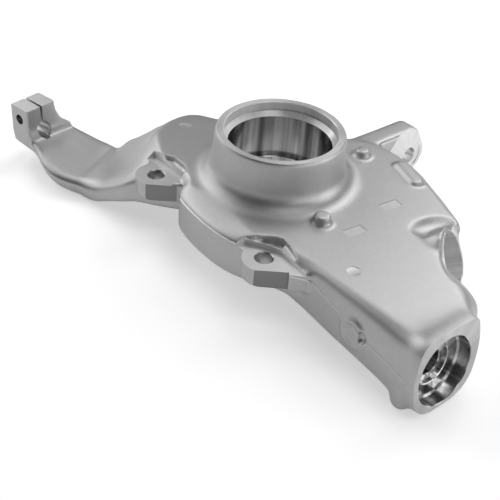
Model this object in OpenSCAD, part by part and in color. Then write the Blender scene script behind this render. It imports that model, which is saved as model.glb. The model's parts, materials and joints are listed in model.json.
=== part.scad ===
// Steering knuckle: one aluminium casting with machined bores and faces.
// +Z is the axis of the wheel bearing bore, out of the collar's mouth, and the origin is its centre there.
// +X runs to the lower ball joint, +Y to the tie rod lug, -X to the clamp of the upper ball joint.

/* [Hub] */
// Diameter of the wheel bearing bore
bore_d = 92; // [84:0.5:98]
// Wall of the collar round the bore
collar_wall = 11; // [9:0.5:15]
// Height of the collar over the top face of the body
collar_h = 43; // [32:1:52]
// Fillet between the collar and the body
collar_fillet = 16; // [8:1:20]
// Extra width of the mouth over the bore
mouth_extra = 8; // [4:0.5:12]
// Depth of the mouth down to its taper
mouth_depth = 7; // [5:0.5:9]
// Width of the snap ring groove at the foot of the mouth
groove_w = 1.8; // [1.2:0.1:3]
// Depth of the snap ring groove
groove_depth = 1.6; // [0.8:0.1:2.5]
// Depth of the bearing seat below the mouth face
seat_depth = 52; // [46:1:58]
// Width of the lip that stops the bearing
lip_w = 5; // [3:0.5:7]
// Thickness of that lip
lip_t = 6; // [4:0.5:10]

/* [Body] */
// Thickness of the body between its top and bottom faces
body_t = 42; // [38:1:54]
// Distance from the bore axis to the front wall
front_wall = 95; // [88:1:104]
// Distance from the bore axis to the body's left side
body_left = 133; // [126:1:138]
// Distance from the bore axis to the body's right side, inside the leg
body_right = 214; // [206:1:220]
// Distance from the bore axis to the body's back edge
body_back = 118.5; // [112:0.5:124]
// Width of the body's rounded shoulders
body_round = 8; // [5:0.5:10]
// Width of the sloping shoulder in front of the collar
front_slope = 23; // [12:0.5:25]
// Distance from the front wall's top down to the mould's parting line
parting_drop = 7; // [5:0.5:9]

/* [Caliper ears] */
// Distance between the two caliper bolt holes
ear_pitch = 148; // [140:1:156]
// Distance from the bore axis to the line through the holes
ear_out = 83.5; // [80:0.5:88]
// Diameter of a caliper bolt hole
ear_hole_d = 14.8; // [10:0.2:18]
// Radius of an ear round its hole
ear_r = 18.5; // [15:0.5:22]
// Thickness of an ear
ear_t = 17; // [12:0.5:22]
// Depth of the ears' machined faces below the body's top face
ear_drop = 9; // [6:0.5:12]
// Distance from a hole to the flat milled on the ear's side
ear_flat = 16.8; // [13:0.2:18.4]
// Bevel round the mouth of each ear hole
hole_bevel = 0.8; // [0.2:0.1:1.5]

/* [Upper arm] */
// Distance from the bore axis to the clamp along the knuckle
arm_reach = 238.5; // [220:0.5:260]
// Distance of the clamp from the bore axis across the knuckle
arm_side = 109.5; // [95:0.5:120]
// Drop of the arm's valley below the body's top face
arm_valley = 48.5; // [30:0.5:60]
// Half width of the arm at the valley
arm_half_w = 36; // [28:0.5:42]
// Thickness of the arm at the valley
arm_t = 18; // [14:0.5:26]

/* [Clamp] */
// Size of the clamp block along the ball stud
clamp_l = 24; // [18:0.5:30]
// Size of the clamp block along the pinch bolt
clamp_w = 35; // [28:0.5:40]
// Height of the clamp block
clamp_h = 36; // [33:0.5:42]
// Drop of the clamp's top below the body's top face
clamp_drop = 7; // [-5:0.5:20]
// Turn of the clamp about Z
clamp_turn = 10; // [-5:1:25]
// Width of the slit
slit_w = 2.4; // [1.6:0.1:3.6]
// Diameter of the ball stud bore
stud_d = 16; // [12:0.5:18]
// Depth of the ball stud bore's axis below the clamp's top
stud_depth = 24; // [22:0.5:27]
// Diameter of the pinch bolt hole
pinch_d = 10; // [8:0.5:12]
// Depth of the pinch bolt's axis below the clamp's top
pinch_depth = 12.4; // [10:0.2:14]

/* [Tie rod lug] */
// Distance from the bore axis to the lug's hole
lug_reach = 167.5; // [150:0.5:180]
// Radius of the lug round its hole
lug_r = 21; // [17:0.5:24]
// Thickness of the lug
lug_t = 23; // [16:0.5:30]
// Distance of the lug's machined face from the bore axis
lug_face = 15.5; // [10:0.5:20]
// Drop of the lug's hole below the body's top face
lug_drop = 34.5; // [30:0.5:40]
// Diameter of the tie rod hole
lug_hole_d = 17; // [12:0.5:20]

/* [Lower end] */
// Distance from the bore axis to the lower end face
end_reach = 240.3; // [225:0.5:260]
// Distance of the lower ball joint's axis from the bore axis
end_side = 41.3; // [36:0.5:48]
// Drop of that axis below the body's top face
end_drop = 32.6; // [28:0.2:38]
// Tilt of the end face and its bore
end_tilt = 7; // [0:1:10]
// Diameter of the lower ball joint bore
end_bore_d = 59; // [50:0.5:63]
// Depth of that bore
end_bore_depth = 11; // [8:0.5:16]
// Diameter of the step in its floor
end_step_d = 35; // [28:0.5:44]
// Depth of that step
end_step_depth = 3; // [2:0.5:6]
// Diameter of the relief hole behind it
end_hole_d = 21; // [14:0.5:25]
// Depth of the relief hole
end_hole_depth = 34; // [20:1:45]

/* [Side joint] */
// Diameter of the side ball joint bore
side_bore_d = 46; // [38:0.5:48]
// Depth of that bore
side_bore_depth = 17; // [12:0.5:20]
// Diameter of the relief behind it
side_relief_d = 33; // [24:0.5:36]
// Depth of that relief
side_relief_depth = 9; // [4:0.5:10]
// Radius of the boss round the bore
side_boss_r = 28; // [27:0.5:32]
// Turn of the side bore about Z
side_turn = 29; // [22:1:36]
// Rise of the side bore's axis
side_rise = 28; // [20:1:32]

/* [Hidden] */
cast_colour = [0.72, 0.73, 0.74];

collar_r = bore_d / 2 + collar_wall;
top_z = -collar_h;
bottom_z = top_z - body_t;
ear_z = top_z - ear_drop;
clamp_z = top_z - clamp_drop;
arm_root = [-92, -44];
arm_tip = [-arm_reach, -arm_side];
end_z = top_z - end_drop;
lug_z = top_z - lug_drop;
side_at = [164.4, 53.9, top_z - 17];
ear_x = 6;
spot_h = 8;
spot_flare = 3;
mark_depth = 0.8;
lead_in = 0.3;
over = 1;

// Basic curves

function unit(v) = v / norm(v);

// Point t of the way from b to c on the smooth curve through a, b, c and d
function curve(a, b, c, d, t) =
    b + (c - a) * t / 2 + (2 * a - 5 * b + 4 * c - d) * t * t / 2 + (3 * b - 3 * c + d - a) * t * t * t / 2;

// Smooth open curve through the given points, with n steps between neighbours
function open_curve(p, n) =
    let(last = len(p) - 1)
    [for (i = [0 : last - 1], k = [0 : i == last - 1 ? n : n - 1])
        curve(p[max(i - 1, 0)], p[i], p[i + 1], p[min(i + 2, last)], k / n)];

// Smooth closed curve through the given points
function closed_curve(p, n) =
    let(m = len(p))
    [for (i = [0 : m - 1], k = [0 : n - 1])
        curve(p[(i + m - 1) % m], p[i], p[(i + 1) % m], p[(i + 2) % m], k / n)];

// Corners p rounded, each over the length in r, as a ring with n + 1 points per corner
function rounded(p, r, n = 3) =
    let(m = len(p))
    [for (i = [0 : m - 1], k = [0 : n])
        let(b = p[i], a = b + unit(p[(i + m - 1) % m] - b) * r[i], c = b + unit(p[(i + 1) % m] - b) * r[i], t = k / n)
        (1 - t) * (1 - t) * a + 2 * t * (1 - t) * b + t * t * c];

// Solid whose surface runs through a list of rings with the same number of points
module skin(rings) {
    m = len(rings[0]);
    n = len(rings);
    polyhedron(
        points = [for (ring = rings, p = ring) p],
        faces = [
            [for (i = [0 : m - 1]) i],
            for (r = [0 : n - 2], i = [0 : m - 1])
                [r * m + i, (r + 1) * m + i, (r + 1) * m + (i + 1) % m, r * m + (i + 1) % m],
            [for (i = [m - 1 : -1 : 0]) (n - 1) * m + i]
        ]
    );
}

// The closed outline p, whose points hold x, y and the width of the shoulder there, drawn in by d
// plus the share f of that width
function drawn_in(p, d, f) =
    let(m = len(p))
    [for (i = [0 : m - 1])
        let(t = unit([for (j = [0, 1]) p[(i + 1) % m][j] - p[(i + m - 1) % m][j]]))
        [p[i][0], p[i][1]] + (d + f * p[i][2]) * [-t[1], t[0]]];

// Plate from such an outline between z0 and z1: its foot rounded by r, its shoulder drop high
function plate_rings(p, z0, z1, r, drop) = [
    for (k = [0 : 3]) let(a = 30 * k)
        [for (q = drawn_in(p, r * (1 - sin(a)), 0)) [q[0], q[1], z0 + r * (1 - cos(a))]],
    for (s = [[0, 1.35], [0, 1], [0.06, 0.74], [0.3, 0.46], [0.66, 0.17], [0.9, 0.03], [1, 0]])
        [for (q = drawn_in(p, 0, s[0])) [q[0], q[1], z1 - drop * s[1]]]
];

// The collar and its flared foot, a turned form
module collar() {
    foot_r = collar_r + 2.5 + collar_fillet;
    rotate_extrude($fn = 96)
        polygon([
            [0, bottom_z],
            [foot_r, bottom_z],
            for (k = [0 : 8]) let(a = 90 * k / 8)
                [foot_r - collar_fillet * sin(a), top_z + collar_fillet * (1 - cos(a))],
            [collar_r, -1],
            [collar_r - 1, 0],
            [0, 0]
        ]);
}

// Outline of the body seen along the bore, from the lug's root clockwise round the hub.
// Each point holds shares of the body's reach to the left or right and to the back or front, then the
// width of the shoulder.
body_outline = let(lf = -body_left, rt = body_right, bk = body_back, fr = -front_wall, r = body_round, s = front_slope)
    closed_curve([
        [0.09 * lf, 0.835 * bk, r],
        [0.33 * lf, 0.71 * bk, r],
        [0.54 * lf, 0.54 * bk, r],
        [0.69 * lf, 0.32 * bk, r],
        [0.81 * lf, 0.17 * bk, r],
        [0.94 * lf, 0.076 * bk, r],
        [lf, 0.063 * fr, r],
        [0.985 * lf, 0.316 * fr, r],
        [0.887 * lf, 0.59 * fr, r],
        [0.66 * lf, 0.758 * fr, 0.75 * r],
        [0.496 * lf, 0.842 * fr, 0.75 * r],
        [0.4 * lf, 0.763 * fr, 0.5 * r],
        [0.3 * lf, 0.779 * fr, 0.5 * r],
        [0.233 * lf, 0.9 * fr, 0.5 * s],
        [0.15 * lf, 0.963 * fr, 0.8 * s],
        [0.028 * rt, 1.01 * fr, 1.04 * s],
        [0.159 * rt, 1.016 * fr, 1.04 * s],
        [0.243 * rt, 0.984 * fr, 0.8 * s],
        [0.308 * rt, 0.926 * fr, 0.5 * s],
        [0.393 * rt, 0.82 * fr, r],
        [0.523 * rt, 0.737 * fr, r],
        [0.748 * rt, 0.705 * fr, r],
        [0.935 * rt, 0.632 * fr, r],
        [rt, 0.42 * fr, r],
        [0.99 * rt, 0.105 * fr, r],
        [0.953 * rt, 0.101 * bk, 0.5 * r],
        [0.888 * rt, 0.135 * bk, 0.5 * r],
        [0.818 * rt, 0.22 * bk, 0.5 * r],
        [0.757 * rt, 0.32 * bk, 0.5 * r],
        [0.715 * rt, 0.473 * bk, 0.5 * r],
        [0.7 * rt, 0.65 * bk, 0.5 * r],
        [0.589 * rt, 0.768 * bk, r],
        [0.458 * rt, 0.869 * bk, r],
        [0.308 * rt, 0.97 * bk, r],
        [0.164 * rt, bk, r],
        [0.047 * rt, 0.962 * bk, r]
    ], 3);

module body() {
    skin(plate_rings(body_outline, bottom_z, top_z, body_round / 2, parting_drop));
}

// Leg to the lower ball joint, as six cornered rings across X.
// Each row: x, then y and z of the corners: right middle, top right, top left, left middle, bottom left,
// bottom right; then how far each corner is rounded.
leg_rows = let(y = -end_side, z = end_z, t = top_z, b = bottom_z) [
    [70, [60, t - 18], [56, t], [-60, t], [-64, t - 15], [-62, b - 0.5], [56, b - 0.5], [4, 8, 6, 4, 5, 8]],
    [90, [60, t - 18], [56, t], [-63.5, t], [-68, t - 15], [-67, b - 5.5], [54, b - 3], [4, 8, 6, 4, 5, 8]],
    [110, [60, t - 18], [56, t], [-66, t], [-70, t - 15], [-68.5, b - 6], [52, b - 4], [4, 8, 6, 4, 5, 8]],
    [150, [40, t - 18], [30, t], [-67, t], [-71, t - 18], [-69.5, b - 10.5], [46, b - 8], [4, 8, 8, 5, 6, 9]],
    [182, [34, t - 16], [16, t], [-67.5, t], [-72, t - 26], [-70.5, b - 13], [36, b - 11], [5, 7, 11, 6, 7, 12]],
    [205, [27.5, t - 15], [11, t], [-68, t], [-73, t - 31], [-71, b - 16], [24, b - 18], [6, 7, 14, 7, 9, 16]],
    [220, [18, t - 15], [0, t], [-68, t + 1], [-74, t - 32], [-72, b - 21], [8, b - 24], [6, 7, 15, 8, 14, 22]],
    [232, [y + 41, z + 10], [y + 35, z + 34], [y - 27, z + 36], [y - 34.5, z + 6], [y - 31, z - 32],
        [y + 31.5, z - 33], [8, 7, 14, 9, 25, 28]],
    [end_reach + 8, [y + 37, z + 5], [y + 34.5, z + 34], [y - 26, z + 37], [y - 34.5, z + 8], [y - 30.5, z - 30],
        [y + 31, z - 30.5], [9, 7, 14, 9, 26, 28]]
];

module leg() {
    n = 3;
    last = len(leg_rows) - 1;
    // the rows between the given ones lie on smooth curves
    function row(i, t) = let(r = [for (k = [-1 : 2]) leg_rows[min(max(i + k, 0), last)]])
        [for (j = [0 : 7]) curve(r[0][j], r[1][j], r[2][j], r[3][j], t)];
    skin([for (i = [0 : last - 1], k = [0 : i == last - 1 ? n : n - 1])
        let(w = row(i, k / n))
        [for (q = rounded([for (j = [1 : 6]) w[j]], w[7], 4)) [w[0], q[0], q[1]]]]);
}

// Small lobe left by the mould under the leg's end
module leg_lobe() {
    skin([for (level = [[end_z - 34.5, 4, 3.5], [end_z - 33.5, 6.5, 6], [end_z - 29, 9, 8], [end_z - 14, 11, 9]])
        [for (k = [0 : 11]) let(a = 30 * k)
            [end_reach - 16 + level[1] * cos(a), -end_side - 25 + level[2] * sin(a), level[0]]]]);
}

// Upper arm, as rings across the way to the clamp, with the near side towards -Y.
// Each row: share of the way; distance to the side of the near wall, the near top edge, the ridge,
// the far wall and the near foot; drop of the near top edge, the ridge, the far top edge and the underside.
arm_rows = let(a = arm_half_w, v = arm_valley, t = arm_t) open_curve([
    [-0.2, a + 8, a + 2, a - 14, -a - 9, a + 8, 4, 1, 1, body_t],
    [-0.056, a + 12, a + 4, a - 12, -a - 9, a + 13, 9, 1.5, 0.5, body_t + 1],
    [0.086, a + 13, a + 4, a - 22, -a - 4, a + 13.5, 15, 2, 0.5, body_t + 4],
    [0.15, a + 14, a + 4, a - 32, -a, a + 14.5, 21, 3.5, 3, body_t + 7],
    [0.22, a + 13, a + 3, a - 34, -a + 2, a + 14.5, v - 19.5, v - 34, v - 39.5, v + 4.5],
    [0.29, a + 11, a + 2, a - 34, -a + 3.5, a + 12.5, v - 12.5, v - 21, v - 31, v + 9.5],
    [0.36, a + 9.5, a + 2, a - 34, -a + 4, a + 10.5, v - 5.5, v - 11, v - 22, v + t - 3],
    [0.43, a + 8.5, a + 2.5, a - 34, -a + 4.5, a + 8.5, v - 1.5, v - 4, v - 14, v + t],
    [0.507, a + 8, a + 5, a - 34, -a + 5, a + 5, v, v, v - 0.7, v + t],
    [0.57, a + 10.5, a + 8, a - 34, -a + 5.5, a + 6, v - 1, v - 1.5, v - 2, v + t - 1],
    [0.636, a + 11.5, a + 9.5, a - 34, -a + 6, a + 7, v - 2.5, v - 3, v - 3.5, v + t - 3.5],
    [0.69, a + 10.5, a + 8, a - 34, -a + 6, a + 5, v - 4, v - 4.5, v - 5, v + t - 5.5],
    [0.755, a + 6, a + 4, a - 35, -a + 6, a + 0.5, v - 6, v - 6.5, v - 7, v + t - 8],
    [0.82, a - 1.5, a - 3, a - 38, -a + 6, a - 6.5, v - 8, v - 8.5, v - 9, v + t - 11],
    [0.875, a - 9, a - 10.5, a - 42, -a + 6, a - 11.5, v - 9.5, v - 10, v - 10.5, v + t - 13.5],
    [0.94, a - 15, a - 17, a - 45, -a + 6.5, a - 14.5, v - 11.5, v - 12, v - 12.5, v + t - 17],
    [1, a - 19, a - 20, a - 46, -a + 8, a - 19, v - 13, v - 13.5, v - 13.5, v + t - 20]
], 1);

module arm() {
    way = arm_tip - arm_root;
    across = unit([way[1], -way[0]]);
    skin([for (w = arm_rows)
        let(c = arm_root + way * w[0], low = top_z - w[9])
        [for (q = rounded([
                [w[1], top_z - w[6] * 0.75 - w[9] * 0.25], [w[2], top_z - w[6]], [w[3], top_z - w[7]],
                [w[4], top_z - w[8]], [w[4] - 0.8, (top_z - w[8] + low) / 2], [w[4] + 2, low], [w[5], low]],
            [2, 5, 9, 3, 2, 5, 5]))
            [c[0] - q[0] * across[0], c[1] - q[0] * across[1], q[1]]]]);
}

module clamp_frame() {
    translate([arm_tip[0], arm_tip[1], clamp_z]) rotate(clamp_turn) children();
}

// Clamp block, its foot spread on the far side and towards the arm
module clamp_block() {
    l = clamp_l / 2;
    w = clamp_w / 2;
    clamp_frame()
        skin([for (level = [[-clamp_h - 5, 4, 12, 7, 4, 2], [-clamp_h - 1.5, 5.5, 16, 10, 5, 0.7],
                [-28, 5.5, 15.5, 10, 4, 0], [-23, 3.4, 8.4, 5, 1, 0], [-16, 1.4, 3.4, 2, 0, 0],
                [-8, 0.4, 0.8, 0, 0, 0], [0, 0, 0, 0, 0, 0]])
            let(foot = level[5], drop = foot > 0 ? 3 : 0)
            [[l + level[4], -w + foot, level[0] - drop], [l + level[1], w + level[2], level[0] - drop],
             [-l + foot, w + level[3], level[0]], [-l + foot, -w + foot, level[0]]]]);
}

// Caliper ear with the flat that is milled on its side; it spreads by more towards +X
module ear(x, more) {
    translate([x, -ear_out, ear_z - ear_t])
        linear_extrude(ear_t + 3)
            difference() {
                hull() {
                    circle(ear_r, $fn = 40);
                    translate([-ear_r, ear_r + 4]) square([ear_r + more, 4]);
                    translate([more - 1, 9]) square([2, 4]);
                }
                rotate(-41.5) translate([ear_flat, -3 * ear_r]) square([ear_r, 6 * ear_r]);
            }
}

// Tie rod lug, a lever towards +Y with a round end
module lug() {
    translate([lug_face - lug_t, 0, 0])
        rotate([90, 0, 90])
            linear_extrude(lug_t)
                hull() {
                    translate([lug_reach, lug_z]) circle(lug_r, $fn = 40);
                    translate([lug_reach - 1, top_z - 14]) circle(11.5, $fn = 32);
                    translate([80, bottom_z + 4]) square([4, body_t - 5]);
                }
}

module side_frame() {
    translate(side_at) rotate([0, 0, side_turn]) rotate([0, 90 - side_rise, 0]) children();
}

// Boss round the side bore, a turned form that widens into the body, with more wall on its upper side
module side_boss() {
    side_frame()
        translate([-2.2, -2, 0])
        rotate_extrude($fn = 48)
            polygon([[0, -46], [26, -46], [side_boss_r + 2, -28], [side_boss_r + 1.5, -8],
                [side_boss_r, -1.5], [side_boss_r - 1.5, 0], [0, 0]]);
}

// Small round boss on the top face, its foot flared
module spot(x, y, r) {
    translate([x, y, top_z])
        rotate_extrude($fn = 32)
            polygon([[0, -4], [r + spot_flare, -4], [r + spot_flare, 0], [r + spot_flare / 3, 1],
                [r, spot_flare], [r, spot_h - 1], [r - 1, spot_h], [0, spot_h]]);
}

// Small cast pads and bosses: two round ones and a long one on the top face, and a round one on the leg's wall
module cast_marks() {
    spot(80, -21, 7.2);
    spot(24, 84, 6.4);
    hull()
        for (p = [[58, 101], [84, 92]])
            translate([p[0], p[1], top_z - 6]) cylinder(h = 9.5, r1 = 8, r2 = 5.5, $fn = 24);
    translate([172, -64, end_z + 2.5]) rotate([90, 0, 0]) cylinder(h = 9, r1 = 14, r2 = 12, $fn = 32);
}

// Recesses left by the mould: the scoop beside the side joint's boss, two shallow rectangles and a round mark on
// the top face, and the dish with its pocket in the leg's round boss
module cast_recesses() {
    translate([138.5, 54, top_z + 1]) rotate(-11) scale([0.35, 1, 0.22]) sphere(r = 20, $fn = 24);
    for (at = [[95, 47], [104, -6]])
        translate([at[0], at[1], top_z - mark_depth]) rotate(-8)
            translate([-4.5, -9, 0]) cube([9, 18, 2 * mark_depth]);
    translate([142, -45, top_z - mark_depth / 2]) cylinder(h = mark_depth, r = 6, $fn = 24);
    translate([172, -71.5, end_z + 2.5]) rotate([90, 0, 0]) cylinder(h = 3, r1 = 8, r2 = 10.5, $fn = 32);
    translate([181, -72, end_z + 5]) scale([0.7, 0.7, 1]) sphere(r = 6, $fn = 16);
}

// All the cast forms fused into one skin: the resize leaves their size as it is
module casting() {
    resize([0, 0, 0])
        difference() {
            union() {
                collar();
                body();
                leg();
                leg_lobe();
                arm();
                clamp_block();
                ear(ear_x - ear_pitch / 2, 23);
                ear(ear_x + ear_pitch / 2, 31);
                lug();
                side_boss();
                cast_marks();
            }
            cast_recesses();
        }
}

// Everything turned out of the hub, in one profile
module hub_bore() {
    seat_r = bore_d / 2;
    mouth_r = seat_r + mouth_extra / 2;
    lip_r = seat_r - lip_w;
    taper_end = mouth_depth + groove_w + mouth_extra / 2;
    rotate_extrude($fn = 96)
        polygon([
            [0, over],
            [mouth_r, over],
            [mouth_r, -mouth_depth],
            [mouth_r + groove_depth, -mouth_depth],
            [mouth_r + groove_depth, -mouth_depth - groove_w],
            [mouth_r, -mouth_depth - groove_w],
            [seat_r, -taper_end],
            [seat_r, -seat_depth],
            [lip_r, -seat_depth],
            [lip_r, -seat_depth - lip_t],
            [lip_r + 5, bottom_z - over],
            [0, bottom_z - over]
        ]);
}

// Milled pocket over each ear with the ledge left behind it, the groove in the right one's ledge, which leaves a
// thin fin standing, and the ears' bolt holes
module ear_cuts() {
    left = [ear_x - ear_pitch / 2, -ear_out];
    right = [ear_x + ear_pitch / 2, -ear_out];
    ledge = ear_drop / 2;
    groove = ear_drop / 6;
    clear = 40;
    // each pocket is open to the front, and the ledge above it reaches a little further back
    translate([0, 0, ear_z]) linear_extrude(clear) {
        polygon([for (q = [[-26, -30], [-26, 16], [-15, 17.5], [6, 16.5], [20, 18], [22, 12], [26, -30]]) left + q]);
        polygon([for (q = [[-30, -30], [-24, -1], [-10, 8], [5, 14], [26, 12.5], [40, 11], [36, -30]]) right + q]);
    }
    translate([0, 0, ear_z + ledge]) linear_extrude(clear) {
        polygon([for (q = [[-26, 12], [-15, 15], [-2, 22], [14, 21.5], [21, 18], [16, 10]]) left + q]);
        polygon([for (q = [[-24, -2], [-15, 9.5], [-8, 18.5], [-2, 21.5], [6, 20], [26, 13.5], [20, 6]]) right + q]);
    }
    translate([0, 0, ear_z + groove]) linear_extrude(clear)
        polygon([for (q = [[-21.5, 1.5], [-16, 9], [-9, 17.5], [-3, 20.5], [2.5, 19.5], [0, 15.5], [-9.5, 10.8]]) right + q]);
    for (at = [left, right])
        translate([at[0], at[1], ear_z]) {
            translate([0, 0, -ear_t - 3]) cylinder(h = ear_t + 3 + clear, d = ear_hole_d, $fn = 48);
            translate([0, 0, -hole_bevel])
                cylinder(h = 2 * hole_bevel, d1 = ear_hole_d, d2 = ear_hole_d + 4 * hole_bevel, $fn = 48);
        }
}

module clamp_cuts() {
    long = 60;
    clamp_frame() {
        translate([-long, -slit_w / 2, -stud_depth]) cube([long + clamp_l / 2 + 6, slit_w, stud_depth + over]);
        translate([-long, 0, -stud_depth]) rotate([0, 90, 0]) cylinder(h = long + clamp_l / 2 + 9, d = stud_d, $fn = 48);
        translate([0, long, -pinch_depth]) rotate([90, 0, 0]) cylinder(h = 2 * long, d = pinch_d, $fn = 48);
    }
}

module lug_cuts() {
    translate([lug_face, lug_reach, lug_z]) rotate([0, 90, 0]) {
        translate([0, 0, -lug_t - over]) cylinder(h = lug_t + 2 * over, d = lug_hole_d, $fn = 48);
        translate([0, 0, -1.2]) cylinder(h = 20, r = lug_r + 5, $fn = 64);
        translate([0, 0, -1.8]) cylinder(h = 2, r = lug_hole_d / 2 + 7, $fn = 64);
    }
}

// Lower end: the face cut square to its bore, then the stepped bore
module end_cuts() {
    translate([end_reach, -end_side, end_z]) rotate([0, 90 - end_tilt, 0]) {
        cylinder(h = 40, r = 80, $fn = 64);
        rotate_extrude($fn = 72)
            polygon([
                [0, over],
                [end_bore_d / 2, over],
                [end_bore_d / 2, -end_bore_depth],
                [end_bore_d / 2 - 1.5, -end_bore_depth - 1.5],
                [end_step_d / 2, -end_bore_depth - 1.5],
                [end_step_d / 2, -end_bore_depth - end_step_depth],
                [end_hole_d / 2, -end_bore_depth - end_step_depth],
                [end_hole_d / 2, -end_bore_depth - end_step_depth - end_hole_depth],
                [0, -end_bore_depth - end_step_depth - end_hole_depth - end_hole_d / 4]
            ]);
    }
}

module side_cuts() {
    side_frame() {
        cylinder(h = 40, r = side_boss_r + 3, $fn = 64);
        rotate_extrude($fn = 72)
            polygon([
                [0, over],
                [side_bore_d / 2, over],
                [side_bore_d / 2, -side_bore_depth],
                [side_relief_d / 2, -side_bore_depth],
                [side_relief_d / 2, -side_bore_depth - side_relief_depth],
                [0, -side_bore_depth - side_relief_depth - 4]
            ]);
    }
}

// Lead-in at the mouth of the side bore
module side_lead_in() {
    side_frame() translate([0, 0, -lead_in])
        cylinder(h = 2 * lead_in, r1 = side_bore_d / 2, r2 = side_bore_d / 2 + 2 * lead_in, $fn = 72);
}

// The casting with the hub and the caliper ears machined
module turned() {
    difference() {
        difference() {
            casting();
            hub_bore();
        }
        ear_cuts();
    }
}

// The same with the clamp and the tie rod lug machined
module drilled() {
    difference() {
        difference() {
            turned();
            clamp_cuts();
        }
        lug_cuts();
    }
}

module knuckle() {
    color(cast_colour)
        difference() {
            difference() {
                difference() {
                    drilled();
                    end_cuts();
                }
                side_cuts();
            }
            side_lead_in();
        }
}

knuckle();
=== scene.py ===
"""Steering knuckle: the finished casting, its machined faces and bores, and a plain studio.

Shapes are worked out in millimetres in the part's own frame and put into the mesh in metres. The origin is
the centre of the collar's mouth, +Z is the axis of the wheel bearing, +X runs to the lower ball joint and +Y
to the tie rod lug. The casting is fused from lofted and turned forms, smoothed as a mould leaves it, and then
machined by cutters that bring their own finish along.
"""

import json
import math

import bmesh
import bpy
import numpy as np
from bpy.props import FloatProperty, FloatVectorProperty, IntProperty, PointerProperty
from mathutils import Matrix, Vector


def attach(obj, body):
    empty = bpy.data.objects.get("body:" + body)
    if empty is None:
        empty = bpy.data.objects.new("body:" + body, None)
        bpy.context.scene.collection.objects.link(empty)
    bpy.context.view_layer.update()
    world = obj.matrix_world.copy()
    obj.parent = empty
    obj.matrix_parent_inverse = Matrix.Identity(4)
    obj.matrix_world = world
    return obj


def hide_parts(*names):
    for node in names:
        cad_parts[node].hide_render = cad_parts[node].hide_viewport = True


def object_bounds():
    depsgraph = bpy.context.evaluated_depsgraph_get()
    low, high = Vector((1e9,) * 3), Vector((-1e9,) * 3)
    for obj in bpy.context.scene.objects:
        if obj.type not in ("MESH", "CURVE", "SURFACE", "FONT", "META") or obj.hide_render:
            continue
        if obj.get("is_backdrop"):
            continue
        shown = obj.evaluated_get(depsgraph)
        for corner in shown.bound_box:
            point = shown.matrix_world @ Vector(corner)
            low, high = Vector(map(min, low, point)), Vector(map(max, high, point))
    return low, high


bl_info = {
    "name": "Steering knuckle",
    "version": (1, 0, 0),
    "blender": (4, 5, 0),
    "location": "3D View > Sidebar > Knuckle",
    "description": "Builds a cast aluminium steering knuckle with its machined faces, and a studio for it",
    "category": "Add Mesh",
}

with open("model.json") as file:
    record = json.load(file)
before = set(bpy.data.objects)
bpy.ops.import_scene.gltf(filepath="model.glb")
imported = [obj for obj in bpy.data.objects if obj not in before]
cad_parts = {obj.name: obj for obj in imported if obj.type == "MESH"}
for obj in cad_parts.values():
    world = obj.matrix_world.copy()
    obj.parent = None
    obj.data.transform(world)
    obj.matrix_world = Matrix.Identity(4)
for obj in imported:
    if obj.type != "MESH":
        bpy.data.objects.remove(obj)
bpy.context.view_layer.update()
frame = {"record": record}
MM = 0.001
MOUNTS = {m["name"]: m for m in frame["record"]["mounts"]}
PIECE = "casting"

# Steps round turned forms and round bores, rings in a rounded edge, the distance in metres within which
# points are merged, the skin's triangles before machining, and the least angle of a sharp edge in degrees
TURN_STEPS = 192
BORE_STEPS = 256
EDGE_RINGS = 5
MERGE_WITHIN = 1e-7
SKIN_FACES = 150000
SHARP_ANGLE = 30


def mount_place(name):
    """A mount's point in millimetres and its axis."""
    found = MOUNTS[name]
    return np.array(found["pos_m"]) / MM, np.array(found["axis"], float)


def mount_radius(name):
    return MOUNTS[name]["dims"]["r_mm"]


# Curves and outlines


def smooth_run(points, steps, closed=False):
    """Smooth curve through rows of numbers: between neighbours b and c, with a before and d after them, it is
    b + (c - a) t / 2 + (2a - 5b + 4c - d) t^2 / 2 + (3b - 3c + d - a) t^3 / 2, for t from 0 to 1 in steps."""
    p = np.asarray(points, float)
    if closed:
        a, b, c, d = (np.roll(p, k, axis=0) for k in (1, 0, -1, -2))
    else:
        full = np.concatenate([p[:1], p, p[-1:]])
        a, b, c, d = full[:-3], full[1:-2], full[2:-1], full[3:]
    t = (np.arange(steps) / steps)[None, :, None]
    a, b, c, d = (x[:, None, :] for x in (a, b, c, d))
    run = b + (c - a) * t / 2 + (2 * a - 5 * b + 4 * c - d) * t**2 / 2 + (3 * b - 3 * c + d - a) * t**3 / 2
    run = run.reshape(-1, p.shape[1])
    return run if closed else np.concatenate([run, p[-1:]])


def rounded(corners, lengths, steps):
    """Each corner b between neighbours a and c is replaced by the arc (1-t)^2 p + 2t(1-t) b + t^2 q, where p
    and q lie its rounding length away from b towards a and c. corners is (..., corner, 2), lengths (...,
    corner)."""
    b = np.asarray(corners, float)
    reach = np.asarray(lengths, float)[..., None]
    before, after = np.roll(b, 1, axis=-2) - b, np.roll(b, -1, axis=-2) - b
    p = b + before / np.linalg.norm(before, axis=-1, keepdims=True) * reach
    q = b + after / np.linalg.norm(after, axis=-1, keepdims=True) * reach
    t = np.linspace(0, 1, steps + 1)[:, None]
    arc = (1 - t) ** 2 * p[..., None, :] + 2 * t * (1 - t) * b[..., None, :] + t**2 * q[..., None, :]
    return arc.reshape(*b.shape[:-2], -1, 2)


def wrapped(circles, steps=120):
    """Outline of a band stretched round circles given as (x, y, radius): in each direction u it runs through
    centre + radius u of the circle that reaches furthest that way."""
    c = np.asarray(circles, float)
    angle = np.arange(steps) * 2 * math.pi / steps
    u = np.stack([np.cos(angle), np.sin(angle)], -1)
    best = np.argmax(u @ c[:, :2].T + c[:, 2], axis=1)
    return c[best, :2] + c[best, 2:] * u


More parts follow.
